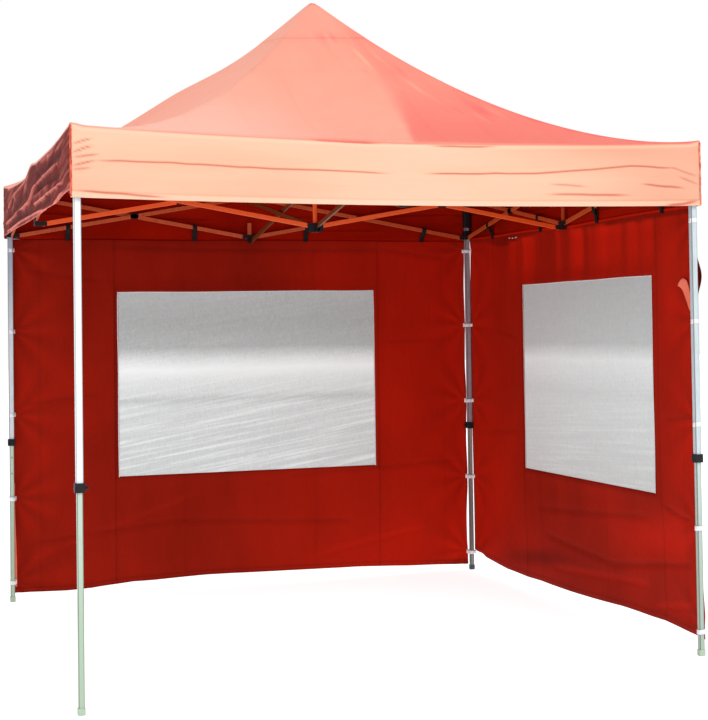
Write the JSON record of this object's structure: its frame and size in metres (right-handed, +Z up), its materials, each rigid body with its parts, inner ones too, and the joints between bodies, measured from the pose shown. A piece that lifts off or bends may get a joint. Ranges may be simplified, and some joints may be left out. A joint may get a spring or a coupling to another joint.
{
  "type": "pop up canopy",
  "caption": "Folding canopy shelter: scissor truss frame on telescopic legs, hollow-sided pyramid roof with straight valances, and two windowed side walls.",
  "frame": {"origin": "on the ground at the centre of the four legs", "axes": "+Z up, -Y towards the open front with the lit valance, +X towards the right side wall"},
  "size_m": [3, 3, 3.3555],
  "materials": {
    "leg_paint": "satin white powder coat",
    "bar_paint": "satin white powder coat",
    "joint_black": "moulded black nylon",
    "roof_cloth": "coated woven polyester, salmon outside",
    "wall_cloth": "coated woven polyester, deep red"
  },
  "bodies": {
    "upper_hub": {"upper_hub": "joint_black"},
    "front_arm_falling": {"front_arm_falling": "bar_paint"},
    "front_arm_rising": {"front_arm_rising": "bar_paint"},
    "front_upper_mid": {"front_upper_mid_joint": "joint_black"},
    "front_lower_mid": {"front_lower_mid_joint": "joint_black"},
    "centre_mast": {"centre_mast": "leg_paint"},
    "front_bar_left_to_slider": {"front_bar_left_to_slider": "bar_paint"},
    "front_bar_left_to_corner": {"front_bar_left_to_corner": "bar_paint"},
    "front_bar_right_to_slider": {"front_bar_right_to_slider": "bar_paint"},
    "front_bar_right_to_corner": {"front_bar_right_to_corner": "bar_paint"},
    "front_left_leg": {"front_left_outer_leg": "leg_paint", "front_left_corner_bracket": "joint_black"},
    "front_left_slider": {"front_left_slider": "joint_black"},
    "front_left_inner_leg": {"front_left_inner_leg": "leg_paint"},
    "front_left_leg_lock_pin": {"front_left_leg_lock_pin": "joint_black"},
    "canopy_front": {"canopy_front_panel": "roof_cloth"},
    "right_arm_falling": {"right_arm_falling": "bar_paint"},
    "right_arm_rising": {"right_arm_rising": "bar_paint"},
    "right_upper_mid": {"right_upper_mid_joint": "joint_black", "side_wall_right": "wall_cloth"},
    "right_lower_mid": {"right_lower_mid_joint": "joint_black"},
    "right_bar_left_to_slider": {"right_bar_left_to_slider": "bar_paint"},
    "right_bar_left_to_corner": {"right_bar_left_to_corner": "bar_paint"},
    "right_bar_right_to_slider": {"right_bar_right_to_slider": "bar_paint"},
    "right_bar_right_to_corner": {"right_bar_right_to_corner": "bar_paint"},
    "front_right_leg": {"front_right_outer_leg": "leg_paint", "front_right_corner_bracket": "joint_black"},
    "front_right_slider": {"front_right_slider": "joint_black"},
    "front_right_inner_leg": {"front_right_inner_leg": "leg_paint"},
    "front_right_leg_lock_pin": {"front_right_leg_lock_pin": "joint_black"},
    "canopy_right": {"canopy_right_panel": "roof_cloth"},
    "back_arm_falling": {"back_arm_falling": "bar_paint"},
    "back_arm_rising": {"back_arm_rising": "bar_paint"},
    "back_upper_mid": {"back_upper_mid_joint": "joint_black", "side_wall_back": "wall_cloth"},
    "back_lower_mid": {"back_lower_mid_joint": "joint_black"},
    "back_bar_left_to_slider": {"back_bar_left_to_slider": "bar_paint"},
    "back_bar_left_to_corner": {"back_bar_left_to_corner": "bar_paint"},
    "back_bar_right_to_slider": {"back_bar_right_to_slider": "bar_paint"},
    "back_bar_right_to_corner": {"back_bar_right_to_corner": "bar_paint"},
    "back_right_leg": {"back_right_outer_leg": "leg_paint", "back_right_corner_bracket": "joint_black"},
    "back_right_slider": {"back_right_slider": "joint_black"},
    "back_right_inner_leg": {"back_right_inner_leg": "leg_paint"},
    "back_right_leg_lock_pin": {"back_right_leg_lock_pin": "joint_black"},
    "canopy_back": {"canopy_back_panel": "roof_cloth"},
    "left_arm_falling": {"left_arm_falling": "bar_paint"},
    "left_arm_rising": {"left_arm_rising": "bar_paint"},
    "left_upper_mid": {"left_upper_mid_joint": "joint_black"},
    "left_lower_mid": {"left_lower_mid_joint": "joint_black"},
    "left_bar_left_to_slider": {"left_bar_left_to_slider": "bar_paint"},
    "left_bar_left_to_corner": {"left_bar_left_to_corner": "bar_paint"},
    "left_bar_right_to_slider": {"left_bar_right_to_slider": "bar_paint"},
    "left_bar_right_to_corner": {"left_bar_right_to_corner": "bar_paint"},
    "back_left_leg": {"back_left_outer_leg": "leg_paint", "back_left_corner_bracket": "joint_black"},
    "back_left_slider": {"back_left_slider": "joint_black"},
    "back_left_inner_leg": {"back_left_inner_leg": "leg_paint"},
    "back_left_leg_lock_pin": {"back_left_leg_lock_pin": "joint_black"},
    "canopy_left": {"canopy_left_panel": "roof_cloth"}
  },
  "joints": [
    {"name": "frame_fold", "type": "hinge", "parent": "upper_hub", "child": "front_arm_falling", "pos_m": [-0.007, -0.036, 2.398], "axis": [1, 0, 0], "range_deg": [0, 76.5], "deforming": ["canopy_front_panel", "canopy_right_panel", "canopy_back_panel", "canopy_left_panel", "side_wall_back", "side_wall_right"]},
    {"name": "front_arm_cross", "type": "hinge", "parent": "front_arm_falling", "child": "front_arm_rising", "pos_m": [0, -0.7345, 2.275], "axis": [-1, 0, 0], "range_deg": [0, 153]},
    {"name": "front_upper_mid_turn", "type": "hinge", "parent": "front_arm_rising", "child": "front_upper_mid", "pos_m": [0.007, -1.433, 2.398], "axis": [1, 0, 0], "range_deg": [0, 76.5]},
    {"name": "front_lower_mid_turn", "type": "hinge", "parent": "front_arm_falling", "child": "front_lower_mid", "pos_m": [-0.007, -1.433, 2.152], "axis": [-1, 0, 0], "range_deg": [0, 76.5]},
    {"name": "lower_hub_turn", "type": "hinge", "parent": "front_arm_rising", "child": "centre_mast", "pos_m": [0.007, -0.036, 2.152], "axis": [1, 0, 0], "range_deg": [0, 76.5]},
    {"name": "front_bar_left_to_slider_turn", "type": "hinge", "parent": "front_upper_mid", "child": "front_bar_left_to_slider", "pos_m": [-0.028, -1.463, 2.424], "axis": [0, -1, 0], "range_deg": [0, 76.5]},
    {"name": "front_bar_left_to_corner_turn", "type": "hinge", "parent": "front_lower_mid", "child": "front_bar_left_to_corner", "pos_m": [-0.028, -1.477, 2.178], "axis": [0, 1, 0], "range_deg": [0, 76.5]},
    {"name": "front_bar_right_to_slider_turn", "type": "hinge", "parent": "front_upper_mid", "child": "front_bar_right_to_slider", "pos_m": [0.028, -1.463, 2.424], "axis": [0, 1, 0], "range_deg": [0, 76.5]},
    {"name": "front_bar_right_to_corner_turn", "type": "hinge", "parent": "front_lower_mid", "child": "front_bar_right_to_corner", "pos_m": [0.028, -1.477, 2.178], "axis": [0, -1, 0], "range_deg": [0, 76.5]},
    {"name": "front_left_leg_turn", "type": "hinge", "parent": "front_bar_left_to_corner", "child": "front_left_leg", "pos_m": [-1.425, -1.477, 2.424], "axis": [0, -1, 0], "range_deg": [0, 76.5]},
    {"name": "front_left_slider_turn", "type": "hinge", "parent": "front_bar_left_to_slider", "child": "front_left_slider", "pos_m": [-1.425, -1.463, 2.178], "axis": [0, 1, 0], "range_deg": [0, 76.5]},
    {"name": "front_left_leg_extend", "type": "slide", "parent": "front_left_leg", "child": "front_left_inner_leg", "axis": [0, 0, 1], "range_m": [0, 0.88]},
    {"name": "front_left_lock_pin_pull", "type": "slide", "parent": "front_left_leg", "child": "front_left_leg_lock_pin", "axis": [1, 0, 0], "range_m": [0, 0.008], "stiffness_N_per_m": 500},
    {"name": "canopy_front_fold", "type": "hinge", "parent": "upper_hub", "child": "canopy_front", "pos_m": [0, 0, 3.35], "axis": [1, 0, 0], "range_deg": [0, 37]},
    {"name": "right_arm_falling_turn", "type": "hinge", "parent": "upper_hub", "child": "right_arm_falling", "pos_m": [0.036, -0.007, 2.398], "axis": [0, 1, 0], "range_deg": [0, 76.5]},
    {"name": "right_arm_cross", "type": "hinge", "parent": "right_arm_falling", "child": "right_arm_rising", "pos_m": [0.7345, 0, 2.275], "axis": [0, -1, 0], "range_deg": [0, 153]},
    {"name": "right_upper_mid_turn", "type": "hinge", "parent": "right_arm_rising", "child": "right_upper_mid", "pos_m": [1.433, 0.007, 2.398], "axis": [0, 1, 0], "range_deg": [0, 76.5]},
    {"name": "right_lower_mid_turn", "type": "hinge", "parent": "right_arm_falling", "child": "right_lower_mid", "pos_m": [1.433, -0.007, 2.152], "axis": [0, -1, 0], "range_deg": [0, 76.5]},
    {"name": "right_bar_left_to_slider_turn", "type": "hinge", "parent": "right_upper_mid", "child": "right_bar_left_to_slider", "pos_m": [1.463, -0.028, 2.424], "axis": [1, 0, 0], "range_deg": [0, 76.5]},
    {"name": "right_bar_left_to_corner_turn", "type": "hinge", "parent": "right_lower_mid", "child": "right_bar_left_to_corner", "pos_m": [1.477, -0.028, 2.178], "axis": [-1, 0, 0], "range_deg": [0, 76.5]},
    {"name": "right_bar_right_to_slider_turn", "type": "hinge", "parent": "right_upper_mid", "child": "right_bar_right_to_slider", "pos_m": [1.463, 0.028, 2.424], "axis": [-1, 0, 0], "range_deg": [0, 76.5]},
    {"name": "right_bar_right_to_corner_turn", "type": "hinge", "parent": "right_lower_mid", "child": "right_bar_right_to_corner", "pos_m": [1.477, 0.028, 2.178], "axis": [1, 0, 0], "range_deg": [0, 76.5]},
    {"name": "front_right_leg_turn", "type": "hinge", "parent": "right_bar_left_to_corner", "child": "front_right_leg", "pos_m": [1.477, -1.425, 2.424], "axis": [1, 0, 0], "range_deg": [0, 76.5]},
    {"name": "front_right_slider_turn", "type": "hinge", "parent": "right_bar_left_to_slider", "child": "front_right_slider", "pos_m": [1.463, -1.425, 2.178], "axis": [-1, 0, 0], "range_deg": [0, 76.5]},
    {"name": "front_right_leg_extend", "type": "slide", "parent": "front_right_leg", "child": "front_right_inner_leg", "axis": [0, 0, 1], "range_m": [0, 0.88]},
    {"name": "front_right_lock_pin_pull", "type": "slide", "parent": "front_right_leg", "child": "front_right_leg_lock_pin", "axis": [0, 1, 0], "range_m": [0, 0.008], "stiffness_N_per_m": 500},
    {"name": "canopy_right_fold", "type": "hinge", "parent": "upper_hub", "child": "canopy_right", "pos_m": [0, 0, 3.35], "axis": [0, 1, 0], "range_deg": [0, 37]},
    {"name": "back_arm_falling_turn", "type": "hinge", "parent": "upper_hub", "child": "back_arm_falling", "pos_m": [0.007, 0.036, 2.398], "axis": [-1, 0, 0], "range_deg": [0, 76.5]},
    {"name": "back_arm_cross", "type": "hinge", "parent": "back_arm_falling", "child": "back_arm_rising", "pos_m": [0, 0.7345, 2.275], "axis": [1, 0, 0], "range_deg": [0, 153]},
    {"name": "back_upper_mid_turn", "type": "hinge", "parent": "back_arm_rising", "child": "back_upper_mid", "pos_m": [-0.007, 1.433, 2.398], "axis": [-1, 0, 0], "range_deg": [0, 76.5]},
    {"name": "back_lower_mid_turn", "type": "hinge", "parent": "back_arm_falling", "child": "back_lower_mid", "pos_m": [0.007, 1.433, 2.152], "axis": [1, 0, 0], "range_deg": [0, 76.5]},
    {"name": "back_bar_left_to_slider_turn", "type": "hinge", "parent": "back_upper_mid", "child": "back_bar_left_to_slider", "pos_m": [0.028, 1.463, 2.424], "axis": [0, 1, 0], "range_deg": [0, 76.5]},
    {"name": "back_bar_left_to_corner_turn", "type": "hinge", "parent": "back_lower_mid", "child": "back_bar_left_to_corner", "pos_m": [0.028, 1.477, 2.178], "axis": [0, -1, 0], "range_deg": [0, 76.5]},
    {"name": "back_bar_right_to_slider_turn", "type": "hinge", "parent": "back_upper_mid", "child": "back_bar_right_to_slider", "pos_m": [-0.028, 1.463, 2.424], "axis": [0, -1, 0], "range_deg": [0, 76.5]},
    {"name": "back_bar_right_to_corner_turn", "type": "hinge", "parent": "back_lower_mid", "child": "back_bar_right_to_corner", "pos_m": [-0.028, 1.477, 2.178], "axis": [0, 1, 0], "range_deg": [0, 76.5]},
    {"name": "back_right_leg_turn", "type": "hinge", "parent": "back_bar_left_to_corner", "child": "back_right_leg", "pos_m": [1.425, 1.477, 2.424], "axis": [0, 1, 0], "range_deg": [0, 76.5]},
    {"name": "back_right_slider_turn", "type": "hinge", "parent": "back_bar_left_to_slider", "child": "back_right_slider", "pos_m": [1.425, 1.463, 2.178], "axis": [0, -1, 0], "range_deg": [0, 76.5]},
    {"name": "back_right_leg_extend", "type": "slide", "parent": "back_right_leg", "child": "back_right_inner_leg", "axis": [0, 0, 1], "range_m": [0, 0.88]},
    {"name": "back_right_lock_pin_pull", "type": "slide", "parent": "back_right_leg", "child": "back_right_leg_lock_pin", "axis": [-1, 0, 0], "range_m": [0, 0.008], "stiffness_N_per_m": 500},
    {"name": "canopy_back_fold", "type": "hinge", "parent": "upper_hub", "child": "canopy_back", "pos_m": [0, 0, 3.35], "axis": [-1, 0, 0], "range_deg": [0, 37]},
    {"name": "left_arm_falling_turn", "type": "hinge", "parent": "upper_hub", "child": "left_arm_falling", "pos_m": [-0.036, 0.007, 2.398], "axis": [0, -1, 0], "range_deg": [0, 76.5]},
    {"name": "left_arm_cross", "type": "hinge", "parent": "left_arm_falling", "child": "left_arm_rising", "pos_m": [-0.7345, 0, 2.275], "axis": [0, 1, 0], "range_deg": [0, 153]},
    {"name": "left_upper_mid_turn", "type": "hinge", "parent": "left_arm_rising", "child": "left_upper_mid", "pos_m": [-1.433, -0.007, 2.398], "axis": [0, -1, 0], "range_deg": [0, 76.5]},
    {"name": "left_lower_mid_turn", "type": "hinge", "parent": "left_arm_falling", "child": "left_lower_mid", "pos_m": [-1.433, 0.007, 2.152], "axis": [0, 1, 0], "range_deg": [0, 76.5]},
    {"name": "left_bar_left_to_slider_turn", "type": "hinge", "parent": "left_upper_mid", "child": "left_bar_left_to_slider", "pos_m": [-1.463, 0.028, 2.424], "axis": [-1, 0, 0], "range_deg": [0, 76.5]},
    {"name": "left_bar_left_to_corner_turn", "type": "hinge", "parent": "left_lower_mid", "child": "left_bar_left_to_corner", "pos_m": [-1.477, 0.028, 2.178], "axis": [1, 0, 0], "range_deg": [0, 76.5]},
    {"name": "left_bar_right_to_slider_turn", "type": "hinge", "parent": "left_upper_mid", "child": "left_bar_right_to_slider", "pos_m": [-1.463, -0.028, 2.424], "axis": [1, 0, 0], "range_deg": [0, 76.5]},
    {"name": "left_bar_right_to_corner_turn", "type": "hinge", "parent": "left_lower_mid", "child": "left_bar_right_to_corner", "pos_m": [-1.477, -0.028, 2.178], "axis": [-1, 0, 0], "range_deg": [0, 76.5]},
    {"name": "back_left_leg_turn", "type": "hinge", "parent": "left_bar_left_to_corner", "child": "back_left_leg", "pos_m": [-1.477, 1.425, 2.424], "axis": [-1, 0, 0], "range_deg": [0, 76.5]},
    {"name": "back_left_slider_turn", "type": "hinge", "parent": "left_bar_left_to_slider", "child": "back_left_slider", "pos_m": [-1.463, 1.425, 2.178], "axis": [1, 0, 0], "range_deg": [0, 76.5]},
    {"name": "back_left_leg_extend", "type": "slide", "parent": "back_left_leg", "child": "back_left_inner_leg", "axis": [0, 0, 1], "range_m": [0, 0.88]},
    {"name": "back_left_lock_pin_pull", "type": "slide", "parent": "back_left_leg", "child": "back_left_leg_lock_pin", "axis": [0, -1, 0], "range_m": [0, 0.008], "stiffness_N_per_m": 500},
    {"name": "canopy_left_fold", "type": "hinge", "parent": "upper_hub", "child": "canopy_left", "pos_m": [0, 0, 3.35], "axis": [0, -1, 0], "range_deg": [0, 37]}
  ],
  "couplings": [
    {"joint": "front_arm_cross", "follows": "frame_fold", "ratio": 2},
    {"joint": "front_upper_mid_turn", "follows": "frame_fold", "ratio": 1},
    {"joint": "front_lower_mid_turn", "follows": "frame_fold", "ratio": 1},
    {"joint": "lower_hub_turn", "follows": "frame_fold", "ratio": 1},
    {"joint": "front_bar_left_to_slider_turn", "follows": "frame_fold", "ratio": 1},
    {"joint": "front_bar_left_to_corner_turn", "follows": "frame_fold", "ratio": 1},
    {"joint": "front_bar_right_to_slider_turn", "follows": "frame_fold", "ratio": 1},
    {"joint": "front_bar_right_to_corner_turn", "follows": "frame_fold", "ratio": 1},
    {"joint": "front_left_leg_turn", "follows": "frame_fold", "ratio": 1},
    {"joint": "front_left_slider_turn", "follows": "frame_fold", "ratio": 1},
    {"joint": "canopy_front_fold", "follows": "frame_fold", "ratio": 0.48366},
    {"joint": "right_arm_falling_turn", "follows": "frame_fold", "ratio": 1},
    {"joint": "right_arm_cross", "follows": "frame_fold", "ratio": 2},
    {"joint": "right_upper_mid_turn", "follows": "frame_fold", "ratio": 1},
    {"joint": "right_lower_mid_turn", "follows": "frame_fold", "ratio": 1},
    {"joint": "right_bar_left_to_slider_turn", "follows": "frame_fold", "ratio": 1},
    {"joint": "right_bar_left_to_corner_turn", "follows": "frame_fold", "ratio": 1},
    {"joint": "right_bar_right_to_slider_turn", "follows": "frame_fold", "ratio": 1},
    {"joint": "right_bar_right_to_corner_turn", "follows": "frame_fold", "ratio": 1},
    {"joint": "front_right_leg_turn", "follows": "frame_fold", "ratio": 1},
    {"joint": "front_right_slider_turn", "follows": "frame_fold", "ratio": 1},
    {"joint": "canopy_right_fold", "follows": "frame_fold", "ratio": 0.48366},
    {"joint": "back_arm_falling_turn", "follows": "frame_fold", "ratio": 1},
    {"joint": "back_arm_cross", "follows": "frame_fold", "ratio": 2},
    {"joint": "back_upper_mid_turn", "follows": "frame_fold", "ratio": 1},
    {"joint": "back_lower_mid_turn", "follows": "frame_fold", "ratio": 1},
    {"joint": "back_bar_left_to_slider_turn", "follows": "frame_fold", "ratio": 1},
    {"joint": "back_bar_left_to_corner_turn", "follows": "frame_fold", "ratio": 1},
    {"joint": "back_bar_right_to_slider_turn", "follows": "frame_fold", "ratio": 1},
    {"joint": "back_bar_right_to_corner_turn", "follows": "frame_fold", "ratio": 1},
    {"joint": "back_right_leg_turn", "follows": "frame_fold", "ratio": 1},
    {"joint": "back_right_slider_turn", "follows": "frame_fold", "ratio": 1},
    {"joint": "canopy_back_fold", "follows": "frame_fold", "ratio": 0.48366},
    {"joint": "left_arm_falling_turn", "follows": "frame_fold", "ratio": 1},
    {"joint": "left_arm_cross", "follows": "frame_fold", "ratio": 2},
    {"joint": "left_upper_mid_turn", "follows": "frame_fold", "ratio": 1},
    {"joint": "left_lower_mid_turn", "follows": "frame_fold", "ratio": 1},
    {"joint": "left_bar_left_to_slider_turn", "follows": "frame_fold", "ratio": 1},
    {"joint": "left_bar_left_to_corner_turn", "follows": "frame_fold", "ratio": 1},
    {"joint": "left_bar_right_to_slider_turn", "follows": "frame_fold", "ratio": 1},
    {"joint": "left_bar_right_to_corner_turn", "follows": "frame_fold", "ratio": 1},
    {"joint": "back_left_leg_turn", "follows": "frame_fold", "ratio": 1},
    {"joint": "back_left_slider_turn", "follows": "frame_fold", "ratio": 1},
    {"joint": "canopy_left_fold", "follows": "frame_fold", "ratio": 0.48366}
  ]
}
